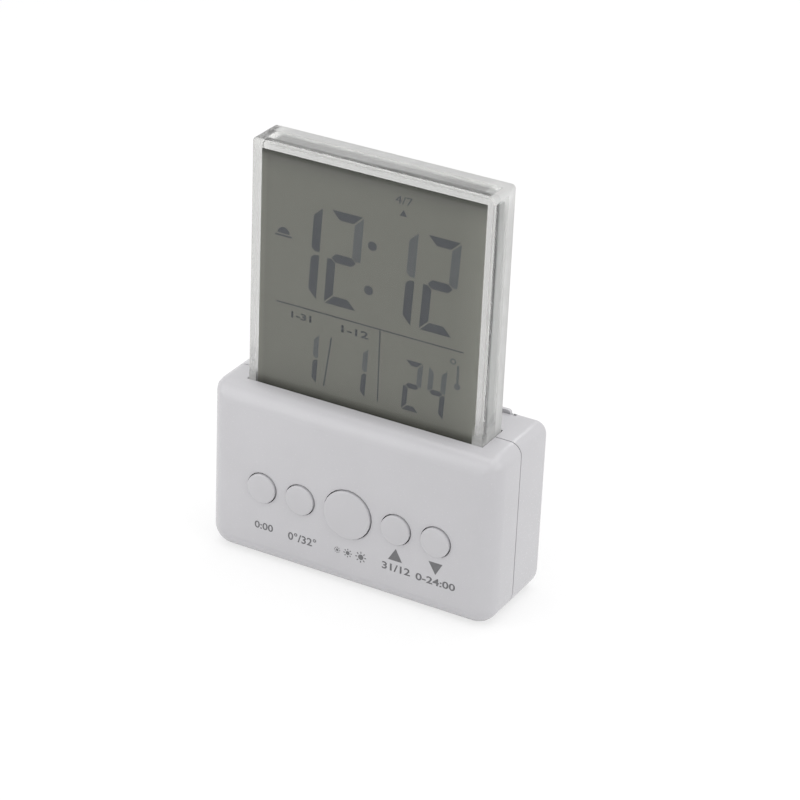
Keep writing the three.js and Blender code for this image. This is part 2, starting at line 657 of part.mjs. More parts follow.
// Board with its soldered parts on the rear side.
function addBoard() {
  const plate = box([-boardHalf, boardHalf], [boardFrontY, boardRearY], [BOARD_BOTTOM, boardTop]);
  const through = [boardFrontY - OVERCUT, boardRearY + OVERCUT];
  const hole = (x, z) => rod(x, z, boardShankHole, through, SMALL_SIDES);
  const holes = atScrews(boardScrewX, boardScrewHeights, hole);
  add('main_board', 'board', cut(plate, ...holes));
  const middle = (BOARD_BOTTOM + boardTop) / 2;
  const blob = [[CHIP_RADIUS, boardRearY]];
  for (let step = 1; step <= CROWN_STEPS; step++) {
    const angle = (step / CROWN_STEPS) * (Math.PI / 2);
    blob.push([CHIP_RADIUS * Math.cos(angle), boardRearY + CHIP_HEIGHT * Math.sin(angle)]);
  }
  blob[CROWN_STEPS][0] = 0;
  add('chip_blob', 'epoxy', turned([[0, boardRearY], ...blob], CHIP_X, middle));
  const lying = (radius, length) => {
    const can = new THREE.CylinderGeometry(radius, radius, length, SMALL_SIDES);
    can.rotateX(Math.PI / 2);
    return can;
  };
  const crystal = lying(CRYSTAL_RADIUS, CRYSTAL_LENGTH);
  crystal.translate(CRYSTAL_X, boardRearY + SOLDER_GAP + CRYSTAL_RADIUS, middle);
  add('crystal_can', 'can', solid(crystal));
  const capacitor = lying(CAPACITOR_RADIUS, CAPACITOR_LENGTH);
  capacitor.translate(CAPACITOR_X, boardRearY + SOLDER_GAP + CAPACITOR_RADIUS, middle);
  add('capacitor', 'black', solid(capacitor));
  const bead = new THREE.SphereGeometry(THERMISTOR_RADIUS, SMALL_SIDES, CROWN_STEPS * 2);
  bead.translate(THERMISTOR_X, boardRearY + SOLDER_GAP + THERMISTOR_RADIUS, middle);
  add('thermistor', 'epoxy', solid(bead));
}

// Cells and contacts. The upper cell points its positive end to -X and the lower one to +X.

const contactInner = bayHalf - CONTACT_GAP - CONTACT_SHEET;
const cellEnd = contactInner - CONTACT_GAP;

function cell(z, side) {
  const radius = CELL_DIAMETER / 2;
  const shoulder = cellEnd - CELL_NIPPLE;
  const tail = cellEnd - CELL_LENGTH;
  const profile = [
    [0, tail],
    [radius - CELL_EDGE, tail],
    [radius, tail + CELL_EDGE],
    [radius, shoulder - CELL_EDGE],
    [radius - CELL_EDGE, shoulder],
    [CELL_NIPPLE_RADIUS, shoulder],
    [CELL_NIPPLE_RADIUS, cellEnd],
    [0, cellEnd],
  ];
  const geometry = new THREE.LatheGeometry(profile.map(([r, x]) => new THREE.Vector2(r, x)), ROUND_SIDES);
  geometry.rotateZ(-side * (Math.PI / 2));
  geometry.translate(0, cellY, z);
  return solid(geometry);
}

function contactPlate(side, [z0, z1]) {
  const across = [side * contactInner, side * (contactInner + CONTACT_SHEET)].sort((a, b) => a - b);
  return box(across, [bayFloorY + CONTACT_GAP, cellY + CONTACT_HALF_HEIGHT], [z0, z1]);
}

function contactSpring(side, z) {
  const root = contactInner + CONTACT_SHEET / 2;
  const tip = CELL_LENGTH - cellEnd + CONTACT_GAP + CONTACT_SHEET / 2;
  const path = [
    [side * root, cellY - SPRING_REACH],
    [side * tip, cellY - SPRING_TIP],
    [side * tip, cellY + SPRING_TIP],
    [side * (root - SPRING_TIP), cellY + SPRING_REACH],
  ];
  return strip(path, CONTACT_SHEET, [z - SPRING_WIDTH / 2, z + SPRING_WIDTH / 2]);
}

function contactTab(z) {
  const across = [-contactInner - CONTACT_SHEET, -contactInner];
  const depth = [bayFrontY - CONTACT_TAB_REACH, bayFloorY + OVERCUT];
  return box(across, depth, [z - CONTACT_TAB / 2, z + CONTACT_TAB / 2]);
}

const contactSpan = (z) => [z - CONTACT_HALF_HEIGHT, z + CONTACT_HALF_HEIGHT];

// Short wire from a contact's tab to the board.
function batteryWire(z) {
  const x = -contactInner - CONTACT_SHEET / 2;
  const start = bayFrontY - CONTACT_TAB_REACH - SOLDER_GAP;
  const end = boardRearY + SOLDER_GAP;
  const middle = (start + end) / 2;
  const route = new THREE.CatmullRomCurve3([
    new THREE.Vector3(x, start, z),
    new THREE.Vector3(x, start - WIRE_RADIUS, z),
    new THREE.Vector3(x + WIRE_SHIFT / 4, middle, z - WIRE_DROP / 3),
    new THREE.Vector3(x + (WIRE_SHIFT * 3) / 4, middle, z - (WIRE_DROP * 2) / 3),
    new THREE.Vector3(x + WIRE_SHIFT, end + WIRE_RADIUS, z - WIRE_DROP),
    new THREE.Vector3(x + WIRE_SHIFT, end, z - WIRE_DROP),
  ]);
  const round = new THREE.EllipseCurve(0, 0, WIRE_RADIUS, WIRE_RADIUS);
  const section = new THREE.Shape(round.getPoints(WIRE_SIDES));
  return solid(new THREE.ExtrudeGeometry(section, { steps: WIRE_STEPS, extrudePath: route }));
}

function addPower() {
  add('battery_upper', 'cell', cell(upperCellZ, -1));
  add('battery_lower', 'cell', cell(lowerCellZ, 1));
  const bridge = contactPlate(1, [lowerCellZ - CONTACT_HALF_HEIGHT, upperCellZ + CONTACT_HALF_HEIGHT]);
  add('contact_bridge', 'steel', join(bridge, contactSpring(1, upperCellZ)));
  const positive = contactPlate(-1, contactSpan(upperCellZ));
  add('contact_positive', 'steel', join(positive, contactTab(upperCellZ)));
  const negative = contactPlate(-1, contactSpan(lowerCellZ));
  add('contact_negative', 'steel', join(negative, contactTab(lowerCellZ), contactSpring(-1, lowerCellZ)));
  add('wire_positive', 'red', batteryWire(upperCellZ));
  add('wire_negative', 'black', batteryWire(lowerCellZ));
}

// A screw driven in from the rear, with a cross recess in its pan head.
function screw(x, z, { shankRadius, headRadius, headHeight, seat, tip }) {
  const headRear = seat + headHeight;
  const edge = headHeight / 2;
  const profile = [
    [0, tip],
    [shankRadius, tip + shankRadius],
    [shankRadius, seat],
    [headRadius, seat],
    [headRadius, headRear - edge],
    [headRadius - edge, headRear],
    [0, headRear],
  ];
  const long = headRadius - edge;
  const depth = [headRear - DRIVE_DEPTH, headRear + OVERCUT];
  const thin = DRIVE_WIDTH / 2;
  const cross = join(
    box([x - long, x + long], depth, [z - thin, z + thin]),
    box([x - thin, x + thin], depth, [z - long, z + long]),
  );
  return cut(turned(profile, x, z, SMALL_SIDES), cross);
}

function addScrews() {
  const caseScrew = {
    shankRadius: CASE_SCREW_RADIUS,
    headRadius: CASE_HEAD_RADIUS,
    headHeight: CASE_HEAD_HEIGHT,
    seat: rearY - CASE_HEAD_SINK + SOLDER_GAP,
    tip: seamY - CASE_SCREW_BITE,
  };
  const boardScrew = {
    shankRadius: BOARD_SCREW_RADIUS,
    headRadius: BOARD_HEAD_RADIUS,
    headHeight: BOARD_HEAD_HEIGHT,
    seat: boardRearY + SOLDER_GAP,
    tip: boardFrontY - BOARD_SCREW_BITE,
  };
  const caseScrews = atScrews(caseScrewX, caseScrewHeights, (x, z) => screw(x, z, caseScrew));
  const boardScrews = atScrews(boardScrewX, boardScrewHeights, (x, z) => screw(x, z, boardScrew));
  caseScrews.forEach((one, i) => add(`case_screw_${i + 1}`, 'steel', one));
  boardScrews.forEach((one, i) => add(`board_screw_${i + 1}`, 'steel', one));
}

add('front_case', 'abs', frontCase());
add('rear_case', 'abs', rearCase());
add('battery_door', 'abs', batteryDoor());
add('window_front', 'clear', windowFront());
add('window_rear', 'clear', windowRear());
addDisplay();
add('led_left', 'clear', led(lcdLeft + LED_INSET));
add('led_right', 'clear', led(lcdRight - LED_INSET));
buttons.forEach(addButton);
add('keypad_sheet', 'silicone', keypadSheet());
addBoard();
addPower();
addScrews();

export default clock;
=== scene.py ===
# %% [markdown]
# # A night light clock
# A light grey moulded base holds five push buttons and two cells. A clear block with a grey display
# stands in a slot in its top. The solids come ready made and in place, in metres, so this lesson gives
# them their finishes, draws what the display shows and what is printed by the buttons, and lights it all.

# %% Load the solids
import math

import bpy
from mathutils import Matrix, Vector


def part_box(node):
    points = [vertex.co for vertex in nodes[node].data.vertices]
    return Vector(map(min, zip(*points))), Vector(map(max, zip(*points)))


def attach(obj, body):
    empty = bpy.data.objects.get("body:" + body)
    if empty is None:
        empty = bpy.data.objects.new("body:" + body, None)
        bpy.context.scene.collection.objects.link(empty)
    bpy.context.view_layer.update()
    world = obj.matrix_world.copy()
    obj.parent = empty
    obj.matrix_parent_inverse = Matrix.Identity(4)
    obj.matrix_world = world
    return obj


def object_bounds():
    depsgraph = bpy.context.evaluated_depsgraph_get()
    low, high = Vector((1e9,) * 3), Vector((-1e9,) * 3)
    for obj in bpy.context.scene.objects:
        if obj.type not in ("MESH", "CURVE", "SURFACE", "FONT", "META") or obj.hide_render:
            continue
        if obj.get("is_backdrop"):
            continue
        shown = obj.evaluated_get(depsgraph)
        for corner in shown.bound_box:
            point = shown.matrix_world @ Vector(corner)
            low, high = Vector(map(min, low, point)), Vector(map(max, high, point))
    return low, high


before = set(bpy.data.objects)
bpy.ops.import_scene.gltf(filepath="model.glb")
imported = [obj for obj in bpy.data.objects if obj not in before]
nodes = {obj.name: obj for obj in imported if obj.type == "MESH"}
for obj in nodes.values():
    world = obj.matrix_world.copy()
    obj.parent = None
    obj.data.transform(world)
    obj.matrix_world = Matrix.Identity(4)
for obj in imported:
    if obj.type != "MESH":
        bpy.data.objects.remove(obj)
solid_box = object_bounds()
MM = 0.001

# %% [markdown]
# ## Camera
# A long lens stands in front, to the right and above, turned a little about its own axis. Its place and
# its three directions were worked out from the straight edges of the base and of the clear block. It could
# be placed by eye instead, but then a difference could be the fault of the view as well as of the shape.

# %% Camera
CAMERA_PLACE = Vector((303.654, -556.377, 373.079)) * MM
CAMERA_RIGHT = (0.87180378, 0.48834536, 0.03843153)
CAMERA_UP = (-0.25367093, 0.38295499, 0.88825477)
CAMERA_BACK = (0.41905755, -0.78413283, 0.45774063)
LENS_MM = 132.015
SENSOR_MM = 36
NEAREST, FARTHEST = 0.01, 50

bpy.ops.object.camera_add()
camera = bpy.context.object
camera.name = "photo_camera"
turn = Matrix((CAMERA_RIGHT, CAMERA_UP, CAMERA_BACK)).transposed()
camera.matrix_world = Matrix.Translation(CAMERA_PLACE) @ turn.to_4x4()
camera.data.sensor_width = SENSOR_MM
camera.data.lens = LENS_MM
camera.data.clip_start = NEAREST
camera.data.clip_end = FARTHEST
bpy.context.scene.camera = camera
print("camera", round(CAMERA_PLACE.length, 3), "m from the origin")

# %% [markdown]
# ## One function for nodes, one for colours
# A finish is a small tree of nodes, which could be put together by hand in the shader editor. In a script
# each node takes several lines, so one function adds a node, sets its values and links its inputs. Colours
# are written as sRGB hex, as a paint chart gives them, and turned to linear light, which shaders reckon in.

# %% Node and colour helpers


def linear(hex_colour):
    """An sRGB hex colour as linear light, with full alpha."""
    channels = [int(hex_colour[i:i + 2], 16) / 255 for i in (0, 2, 4)]
    lit = [c / 12.92 if c <= 0.04045 else ((c + 0.055) / 1.055) ** 2.4 for c in channels]
    return (*lit, 1.0)


def add_node(tree, kind, settings=None, links=None):
    """Adds a node; settings name its properties or its sockets, and links its inputs."""
    node = tree.nodes.new(kind)
    for name, value in (settings or {}).items():
        if isinstance(name, str) and hasattr(node, name):
            setattr(node, name, value)
        else:
            node.inputs[name].default_value = value
    for name, source in (links or {}).items():
        tree.links.new(source, node.inputs[name])
    return node


def new_finish(name):
    """An empty material, its tree and its output node."""
    material = bpy.data.materials.new(name)
    material.use_nodes = True
    tree = material.node_tree
    tree.nodes.clear()
    return material, tree, tree.nodes.new("ShaderNodeOutputMaterial")


def dress(material, *names):
    """Gives a finish to solids."""
    for name in names:
        slots = nodes[name].data.materials
        slots.clear()
        slots.append(material)


print("white is", [round(c, 3) for c in linear("ffffff")])

# %% [markdown]
# ## Floor
# The clock stands on a white sheet that runs on without an edge, and throws light back up as one. In this
# light a plain white sheet would come out light grey, and more light would bleach the clock. So to the eye,
# in mirrors and through clear plastic it looks like an opal sheet lit from below: it reads as white, and
# keeps only a thin line of shadow along the foot of the base and a faint one around it.

# %% Floor
FLOOR_SIZE = 8.0
FLOOR_DROP = 0.02 * MM
FLOOR_GLOW = 0.672


def eye_rays(tree):
    """A socket that is 1 for what is looked at: straight, through clear plastic or in a gloss."""
    seen = add_node(tree, "ShaderNodeLightPath")
    sight = add_node(
        tree,
        "ShaderNodeMath",
        {"operation": "MAXIMUM"},
        {0: seen.outputs["Is Camera Ray"], 1: seen.outputs["Is Transmission Ray"]},
    )
    sight = add_node(
        tree,
        "ShaderNodeMath",
        {"operation": "MAXIMUM"},
        {0: sight.outputs[0], 1: seen.outputs["Is Glossy Ray"]},
    )
    return sight.outputs[0]


bpy.ops.object.select_all(action="DESELECT")
bpy.ops.mesh.primitive_plane_add(size=FLOOR_SIZE, location=(0, 0, -FLOOR_DROP))
floor = bpy.context.object
floor.name = "floor"
paper, tree, out = new_finish("white_paper_sheet")
glow = add_node(tree, "ShaderNodeEmission", {"Strength": FLOOR_GLOW})
opal = add_node(tree, "ShaderNodeBsdfDiffuse", {"Color": linear("9c9c9c")})
opal = add_node(tree, "ShaderNodeAddShader", None, {0: opal.outputs[0], 1: glow.outputs[0]})
sheet = add_node(tree, "ShaderNodeBsdfDiffuse", {"Color": linear("f4f4f4")})
mixed = add_node(
    tree,
    "ShaderNodeMixShader",
    None,
    {0: eye_rays(tree), 1: sheet.outputs[0], 2: opal.outputs[0]},
)
tree.links.new(mixed.outputs[0], out.inputs["Surface"])
floor.data.materials.append(paper)
floor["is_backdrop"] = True
print("floor", FLOOR_SIZE, "m wide")

# %% [markdown]
# ## Light
# A white tent lights the clock evenly from all round, and its cloth looks plain white. Lamps alone could
# light it, but they leave dark sides and hard highlights. So the tent does most of it, and four panels only
# add shape: a small near one at the front left, which fades across the front, a wide one at the right, a wide
# one above, and a small far one behind, which draws a thin highlight along the base's right upper edge.

# %% Tent
TENT_LIGHT = 0.60

world = bpy.data.worlds.new("light_tent")
bpy.context.scene.world = world
world.use_nodes = True
tree = world.node_tree
tree.nodes.clear()
out = tree.nodes.new("ShaderNodeOutputWorld")
tent = add_node(tree, "ShaderNodeBackground", {"Color": linear("ffffff"), "Strength": TENT_LIGHT})
backdrop = add_node(tree, "ShaderNodeBackground", {"Color": linear("ffffff"), "Strength": 1.0})
mixed = add_node(
    tree,
    "ShaderNodeMixShader",
    None,
    {0: eye_rays(tree), 1: tent.outputs[0], 2: backdrop.outputs[0]},
)
tree.links.new(mixed.outputs[0], out.inputs["Surface"])
bpy.context.scene.view_settings.view_transform = "Standard"
print("tent light", TENT_LIGHT)

# %% Panels
# Each panel's place and width are in metres, and its power is in watts.
LAMPS = {
    "key_panel": ((-0.21, -0.24, 0.19), 0.3, 0.31),
    "side_panel": ((1.1, -0.1, 0.5), 0.9, 2.7),
    "top_panel": ((0.1, 0.1, 1.3), 1.4, 8.1),
    "rim_panel": ((-0.114, 1.065, 0.82), 0.2, 0.6),
}
AIM = Vector((0, 0, 0.05))
for name, (place, size, watts) in LAMPS.items():
    bpy.ops.object.light_add(type="AREA", location=place)
    lamp = bpy.context.object
    lamp.name = name
    lamp.data.shape = "SQUARE"
    lamp.data.size = size
    lamp.data.energy = watts
    lamp.rotation_euler = (Vector(place) - AIM).to_track_quat("Z", "Y").to_euler()
print(len(LAMPS), "panels in the tent")

# %% [markdown]
# ## Smooth moulded surfaces
# The solids are made of flat triangles. More triangles could make round shapes look round, but shading does
# it without touching the shapes. Their corners are welded and shaded smooth, with a split at each edge that
# is sharper than a fillet's step, so that crisp edges stay crisp.

# %% Smooth shading on the solids
SHARP_EDGE = math.radians(32)
MERGE_WITHIN = 0.002 * MM

for solid in nodes.values():
    solid.data.polygons.foreach_set("use_smooth", [True] * len(solid.data.polygons))
    weld = solid.modifiers.new("weld", "WELD")
    weld.merge_threshold = MERGE_WITHIN
    split = solid.modifiers.new("crisp_edges", "EDGE_SPLIT")
    split.split_angle = SHARP_EDGE
print("smooth shading on", len(nodes), "solids")

# %% [markdown]
# ## Moulded ABS
# The base, its door and the button caps are light grey ABS. The mould's spark-eroded steel leaves a fine
# satin grain, which spreads highlights softly. A picture of grain could be laid on, but noise needs none and
# keeps its size on every piece. Real grit is near 0.1 mm, too fine to show here, so it is drawn at 0.35 mm,
# and shallower and at 0.5 mm on the caps, which come from a smoother mould. The grey drifts a little over
# centimetres, as the plastic flowed. Where the base curves in above the table, painted shade darkens it.

# %% ABS finish
ABS_IOR = 1.53
FLOW = 14 * MM
FLOW_BAND = (0.35, 0.65)
FLOW_TONES = (0.985, 1.01)
GRAIN_STRENGTH = 0.1
SATIN_SPREAD = 0.015
# Most values of a noise lie between these two.
NOISE_LOW, NOISE_HIGH = 0.3, 0.7
# Painted shade: below these heights the grey is darkened towards the table.
FOOT_SHADE_LOW = 0.9 * MM
FOOT_SHADE_HIGH = 2.2 * MM
FOOT_SHADE_TONE = 0.78


def moulded_abs(name, colour, roughness, grain_mm, grain_height_mm):
    """ABS with a mould's grain, a slow drift of its grey and painted shade along the foot, near the table."""
    material, tree, out = new_finish(name)
    place = add_node(tree, "ShaderNodeTexCoord")
    grain = add_node(
        tree,
        "ShaderNodeTexNoise",
        {"Scale": 1 / (grain_mm * MM), "Detail": 2.0, "Roughness": 0.5},
        {"Vector": place.outputs["Object"]},
    )
    flow = add_node(
        tree,
        "ShaderNodeTexNoise",
        {"Scale": 1 / FLOW, "Detail": 2.0},
        {"Vector": place.outputs["Object"]},
    )
    grey = linear(colour)[:3]
    tint = add_node(tree, "ShaderNodeValToRGB", None, {"Fac": flow.outputs["Fac"]})
    for stop, along, tone in zip(tint.color_ramp.elements, FLOW_BAND, FLOW_TONES):
        stop.position = along
        stop.color = (*[channel * tone for channel in grey], 1)
    # Painted shade: the grey is darkened near the foot of the base, towards the table.
    axes = add_node(tree, "ShaderNodeSeparateXYZ", None, {0: place.outputs["Object"]})
    painted_foot_shade = add_node(
        tree,
        "ShaderNodeMapRange",
        {"From Min": FOOT_SHADE_LOW, "From Max": FOOT_SHADE_HIGH, "To Min": FOOT_SHADE_TONE, "To Max": 1.0},
        {"Value": axes.outputs["Z"]},
    )
    tint = add_node(
        tree,
        "ShaderNodeVectorMath",
        {"operation": "SCALE"},
        {0: tint.outputs["Color"], "Scale": painted_foot_shade.outputs["Result"]},
    )
    satin = add_node(
        tree,
        "ShaderNodeMapRange",
        {
            "From Min": NOISE_LOW,
            "From Max": NOISE_HIGH,
            "To Min": roughness - SATIN_SPREAD,
            "To Max": roughness + SATIN_SPREAD,
        },
        {"Value": grain.outputs["Fac"]},
    )
    bump = add_node(
        tree,
        "ShaderNodeBump",
        {"Strength": GRAIN_STRENGTH, "Distance": grain_height_mm * MM},
        {"Height": grain.outputs["Fac"]},
    )
    shader = add_node(
        tree,
        "ShaderNodeBsdfPrincipled",
        {"IOR": ABS_IOR},
        {
            "Base Color": tint.outputs["Vector"],
            "Roughness": satin.outputs["Result"],
            "Normal": bump.outputs["Normal"],
        },
    )
    tree.links.new(shader.outputs[0], out.inputs["Surface"])
    return material


print("grey drifts over", round(FLOW / MM, 1), "mm")

# %% ABS on the base and caps
BUTTONS = ("set", "temp", "light", "up", "down")
case_abs = moulded_abs("satin_moulded_abs", "c6c5c8", 0.26, 0.35, 0.003)
cap_abs = moulded_abs("smooth_moulded_abs", "c4c3c6", 0.24, 0.5, 0.002)
dress(case_abs, "front_case", "rear_case", "battery_door")
dress(cap_abs, *[f"{name}_button" for name in BUTTONS])
print("ABS on the base and", len(BUTTONS), "caps")

# %% [markdown]
# ## Clear acrylic
# The tray and its rear cover are moulded acrylic, IOR 1.49, welded together near the rear. The front is
# polished, and the rest carries more or less of a pale haze. Two materials could part the clear from the
# pale, but then each would need faces of its own. One material does it here, because its zones follow from
# places on the block. First comes the polish: over the display, and on the outer side of the front. The
# front's inner side keeps the full mirror of a clear block.

# %% Where the acrylic is polished
POLISH_DEPTH = 2.1 * MM
FIELD_MARGIN = 0.03 * MM
display_low, display_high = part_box("lcd_front_polariser")
tray_low, tray_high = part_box("window_front")
field_middle = (display_low.x + display_high.x) / 2
field_half = (display_high.x - display_low.x) / 2 - FIELD_MARGIN

acrylic, tree, out = new_finish("moulded_clear_acrylic")
place = add_node(tree, "ShaderNodeTexCoord")
axes = add_node(tree, "ShaderNodeSeparateXYZ", None, {0: place.outputs["Object"]})
side = add_node(tree, "ShaderNodeNewGeometry")
across = add_node(
    tree,
    "ShaderNodeMath",
    {"operation": "COMPARE", 1: field_middle, 2: field_half},
    {0: axes.outputs["X"]},
)
below = add_node(
    tree,
    "ShaderNodeMath",
    {"operation": "LESS_THAN", 1: display_high.z - FIELD_MARGIN},
    {0: axes.outputs["Z"]},
)
field = add_node(
    tree,
    "ShaderNodeMath",
    {"operation": "MULTIPLY"},
    {0: across.outputs[0], 1: below.outputs[0]},
)
front = add_node(
    tree,
    "ShaderNodeMath",
    {"operation": "LESS_THAN", 1: tray_low.y + POLISH_DEPTH},
    {0: axes.outputs["Y"]},
)
front = add_node(
    tree,
    "ShaderNodeMath",
    {"operation": "SUBTRACT", "use_clamp": True},
    {0: front.outputs[0], 1: side.outputs["Backfacing"]},
)
print("polished field", round(2 * field_half / MM, 2), "mm wide")

# %% [markdown]
# The weld leaves a pale haze, which starts a little in front of the joint. The foot is scuffed, where it was
# pushed into the slot, and so is the upper right corner. The upper left corner stayed clearer. A corner is
# found by a sum: X and Z together grow towards the right one, and Z less X grows towards the left one. There
# X counts more, so that its zone is narrow and tall.

# %% Weld and foot
HAZE = 0.85
WELD_REACH = 2.4 * MM
WELD_FADE = 0.3 * MM
SCUFF_REACH = 6 * MM
weld_start = tray_high.y - WELD_REACH
slot_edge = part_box("front_case")[1].z

welded = add_node(
    tree,
    "ShaderNodeMapRange",
    {"From Min": weld_start, "From Max": weld_start + WELD_FADE, "To Min": 0.0, "To Max": HAZE},
    {"Value": axes.outputs["Y"]},
)
scuffed = add_node(
    tree,
    "ShaderNodeMapRange",
    {"From Min": slot_edge, "From Max": slot_edge + SCUFF_REACH, "To Min": HAZE, "To Max": 0.0},
    {"Value": axes.outputs["Z"]},
)
print("haze from", round((weld_start - tray_low.y) / MM, 2), "mm behind the front")

# %% Upper corners
LEFT_FROM, LEFT_FULL = 8.6 * MM, 6.4 * MM
LEFT_SLOPE = 3.3
LEFT_SHARE = 0.32
RIGHT_FROM, RIGHT_FULL = 2.4 * MM, 1.4 * MM
cover_low, cover_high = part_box("window_rear")
left_tip = cover_high.z - LEFT_SLOPE * cover_low.x
right_tip = cover_high.z + cover_high.x

leftward = add_node(
    tree,
    "ShaderNodeMath",
    {"operation": "MULTIPLY_ADD", 1: -LEFT_SLOPE},
    {0: axes.outputs["X"], 2: axes.outputs["Z"]},
)
left_corner = add_node(
    tree,
    "ShaderNodeMapRange",
    {
        "From Min": left_tip - LEFT_FROM,
        "From Max": left_tip - LEFT_FULL,
        "To Min": 1.0,
        "To Max": LEFT_SHARE,
    },
    {"Value": leftward.outputs[0]},
)
rightward = add_node(
    tree,
    "ShaderNodeMath",
    {"operation": "ADD"},
    {0: axes.outputs["Z"], 1: axes.outputs["X"]},
)
right_corner = add_node(
    tree,
    "ShaderNodeMapRange",
    {
        "From Min": right_tip - RIGHT_FROM,
        "From Max": right_tip - RIGHT_FULL,
        "To Min": 0.0,
        "To Max": HAZE,
    },
    {"Value": rightward.outputs[0]},
)
print("corners from", round(cover_low.x / MM, 2), "to", round(cover_high.x / MM, 2), "mm")

# %% [markdown]
# Now the zones are put together. Scuffs take the polish off the front, though not off the display's field.
# Haze shows most on outer faces and less on inner ones, and handling leaves it a little uneven.

# %% Polish and haze together
INNER_HAZE = 0.35
HANDLING = 6 * MM
LEAST_WORN = 0.92

dulled = add_node(
    tree,
    "ShaderNodeMath",
    {"operation": "MAXIMUM"},
    {0: scuffed.outputs["Result"], 1: right_corner.outputs["Result"]},
)
front = add_node(
    tree,
    "ShaderNodeMath",
    {"operation": "SUBTRACT", "use_clamp": True},
    {0: front.outputs[0], 1: dulled.outputs[0]},
)
polish = add_node(
    tree,
    "ShaderNodeMath",
    {"operation": "MAXIMUM"},
    {0: field.outputs[0], 1: front.outputs[0]},
)
haze = add_node(
    tree,
    "ShaderNodeMath",
    {"operation": "MAXIMUM"},
    {0: welded.outputs["Result"], 1: dulled.outputs[0]},
)
clouds = add_node(
    tree,
    "ShaderNodeTexNoise",
    {"Scale": 1 / HANDLING, "Detail": 1.0},
    {"Vector": place.outputs["Object"]},
)
worn = add_node(
    tree,
    "ShaderNodeMapRange",
    {"From Min": NOISE_LOW, "From Max": NOISE_HIGH, "To Min": LEAST_WORN, "To Max": 1.0},
    {"Value": clouds.outputs["Fac"]},
)
outer = add_node(
    tree,
    "ShaderNodeMapRange",
    {"To Min": 1.0, "To Max": INNER_HAZE},
    {"Value": side.outputs["Backfacing"]},
)
for share in (left_corner, worn, outer):
    haze = add_node(
        tree,
        "ShaderNodeMath",
        {"operation": "MULTIPLY"},
        {0: haze.outputs[0], 1: share.outputs["Result"]},
    )
print("inner faces keep", INNER_HAZE, "of the haze")

# %% [markdown]
# A clear rim bends and mirrors all that is around it. Haze scatters light both ways, so it is part matt
# white and part translucent. The polished front mirrors less than plain acrylic does: a thin hard coat keeps
# glare off the display.

# %% Acrylic surfaces
ACRYLIC_IOR = 1.49
LIT_THROUGH = 0.6

clear = add_node(
    tree,
    "ShaderNodeBsdfPrincipled",
    {"Base Color": linear("f8f8f7"), "IOR": ACRYLIC_IOR, "Roughness": 0.0, "Transmission Weight": 1.0},
)
matt = add_node(tree, "ShaderNodeBsdfDiffuse", {"Color": linear("ededec")})
translucent = add_node(tree, "ShaderNodeBsdfTranslucent", {"Color": linear("fbfbfa")})
pale = add_node(
    tree,
    "ShaderNodeMixShader",
    {0: LIT_THROUGH},
    {1: matt.outputs[0], 2: translucent.outputs[0]},
)
rim = add_node(
    tree,
    "ShaderNodeMixShader",
    None,
    {0: haze.outputs[0], 1: clear.outputs[0], 2: pale.outputs[0]},
)
polished = add_node(
    tree,
    "ShaderNodeBsdfPrincipled",
    {
        "Base Color": linear("e2e2e1"),
        "IOR": ACRYLIC_IOR,
        "Roughness": 0.0,
        "Transmission Weight": 1.0,
        "Specular Tint": linear("303030"),
    },
)
surface = add_node(
    tree,
    "ShaderNodeMixShader",
    None,
    {0: polish.outputs[0], 1: rim.outputs[0], 2: polished.outputs[0]},
)
print("acrylic bends light by", ACRYLIC_IOR)

# %% [markdown]
# Light also has to reach the display through the block. Rays that only carry light find plainly clear
# plastic, which is much quicker to render than light bent through every wall.

# %% Light through the acrylic
CLEAR_PIECES = ("window_front", "window_rear", "led_left", "led_right")

passing = add_node(tree, "ShaderNodeBsdfTransparent", {"Color": linear("f8f8f8")})
seen = add_node(tree, "ShaderNodeLightPath")
unseen = add_node(
    tree,
    "ShaderNodeMath",
    {"operation": "MAXIMUM"},
    {0: seen.outputs["Is Shadow Ray"], 1: seen.outputs["Is Diffuse Ray"]},
)
mixed = add_node(
    tree,
    "ShaderNodeMixShader",
    None,
    {0: unseen.outputs[0], 1: surface.outputs[0], 2: passing.outputs[0]},
)
tree.links.new(mixed.outputs[0], out.inputs["Surface"])
dress(acrylic, *CLEAR_PIECES)
print("acrylic on", ", ".join(CLEAR_PIECES))

# %% [markdown]
# ## Display stack
# The display is a grey reflective sandwich. Its front film is a matt plastic polariser, green-grey. Light and
# shade are painted on it: paler at the right, next to the clear wall, darker at the foot, in the slot's
# shade, and darker towards the top, ending in a thin dark line. These tones could be painted on as a picture.
# Two ramps, one up and one across, are multiplied instead, because they follow the film's own edges.

# %% Tones of the front film
# Each stop is a share of the film's height or width, and the tone there.
# Painted shade: darker at the foot and towards the top, with a thin dark line at the top edge.
FILM_PAINTED_SHADE_UPWARD = (
    (0.0, "6c6d66"),
    (0.102, "74756e"),
    (0.118, "86877f"),
    (0.14, "979890"),
    (0.91, "979890"),
    (0.955, "90918a"),
    (0.98, "83847e"),
    (0.989, "6a6b65"),
    (1.0, "5b5c57"),
)
# Painted light and shade: paler at the right, by the clear wall, and darker just inside the left edge.
FILM_PAINTED_LIGHT_ACROSS = (
    (0.0, "f4f4f4"),
    (0.015, "eeeeee"),
    (0.03, "e1e1e1"),
    (0.055, "e6e6e6"),
    (0.88, "e9e9e9"),
    (0.95, "f4f4f4"),
    (1.0, "ffffff"),
)
print(len(FILM_PAINTED_SHADE_UPWARD), "tones upward and", len(FILM_PAINTED_LIGHT_ACROSS), "across")

